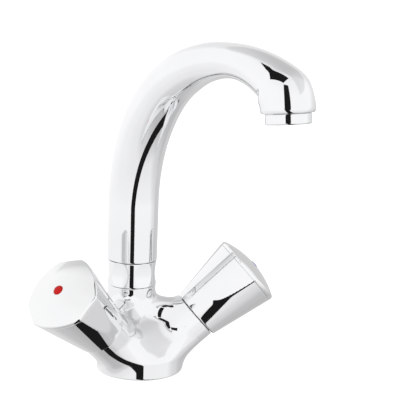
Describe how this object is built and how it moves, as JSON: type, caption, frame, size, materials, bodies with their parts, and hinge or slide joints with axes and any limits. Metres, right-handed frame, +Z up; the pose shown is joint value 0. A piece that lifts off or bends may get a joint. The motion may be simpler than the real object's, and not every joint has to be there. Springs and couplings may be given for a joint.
{
  "type": "bathroom basin mixer faucet",
  "caption": "Deck-mounted chrome basin mixer with a swivelling swan-neck spout, angled lobed hot and cold handles with index dots, and an aerated outlet.",
  "frame": {"origin": "centre of the round underside of the base, on the basin deck", "axes": "+Z up out of the deck, -Y towards the user along the spout, -X hot handle, +X cold handle"},
  "size_m": [0.1591, 0.1817, 0.2065],
  "materials": {
    "chrome_plate": "bright mirror chrome plating over polished brass",
    "chrome_cap": "bright mirror chrome plating over a moulded cap",
    "brass": "machined, unplated",
    "spring_bronze": "rolled strip",
    "steel": "turned stainless steel",
    "black_rubber": "matt black rubber",
    "fibre_seal": "pressed fibre",
    "white_plastic": "white low-friction plastic",
    "grey_plastic": "moulded grey plastic",
    "red_button": "glossy red",
    "blue_button": "glossy blue"
  },
  "bodies": {
    "base": {"mixer_body": "chrome_plate", "base_gasket": "black_rubber", "spout_union_nut": "chrome_plate", "spout_slide_ring": "white_plastic", "hot_headwork": "brass", "hot_headwork_seal": "fibre_seal", "cold_headwork": "brass", "cold_headwork_seal": "fibre_seal"},
    "spout": {"spout": "chrome_plate", "spout_o_rings": "black_rubber", "spout_snap_ring": "spring_bronze", "aerator_housing": "chrome_plate", "aerator_insert": "grey_plastic", "aerator_screen": "steel", "aerator_seal": "black_rubber"},
    "hot_knob": {"hot_spindle": "brass", "hot_spindle_o_ring": "black_rubber", "hot_spindle_clip": "steel", "hot_handle": "chrome_plate", "hot_handle_cap": "chrome_cap", "hot_index_button": "red_button", "hot_handle_screw": "steel"},
    "hot_piston": {"hot_valve_piston": "brass", "hot_seat_washer": "black_rubber", "hot_washer_screw": "steel"},
    "cold_knob": {"cold_spindle": "brass", "cold_spindle_o_ring": "black_rubber", "cold_spindle_clip": "steel", "cold_handle": "chrome_plate", "cold_handle_cap": "chrome_cap", "cold_index_button": "blue_button", "cold_handle_screw": "steel"},
    "cold_piston": {"cold_valve_piston": "brass", "cold_seat_washer": "black_rubber", "cold_washer_screw": "steel"}
  },
  "joints": [
    {"name": "spout_swivel", "type": "hinge", "parent": "base", "child": "spout", "pos_m": [0, 0.012, 0.06], "axis": [0, 0, 1], "range_deg": [-70, 70]},
    {"name": "hot_turn", "type": "hinge", "parent": "base", "child": "hot_knob", "pos_m": [0, 0.0022, 0.0006], "axis": [-0.7092, -0.2581, 0.6561], "range_deg": [0, 540]},
    {"name": "hot_lift", "type": "slide", "parent": "base", "child": "hot_piston", "axis": [-0.7092, -0.2581, 0.6561], "range_m": [0, 0.003]},
    {"name": "cold_turn", "type": "hinge", "parent": "base", "child": "cold_knob", "pos_m": [0, 0.0022, 0.0006], "axis": [0.7092, -0.2581, 0.6561], "range_deg": [0, 540]},
    {"name": "cold_lift", "type": "slide", "parent": "base", "child": "cold_piston", "axis": [0.7092, -0.2581, 0.6561], "range_m": [0, 0.003]}
  ],
  "couplings": [
    {"joint": "hot_lift", "follows": "hot_turn", "m_per_rad": 0.00031828},
    {"joint": "cold_lift", "follows": "cold_turn", "m_per_rad": 0.00031828}
  ]
}
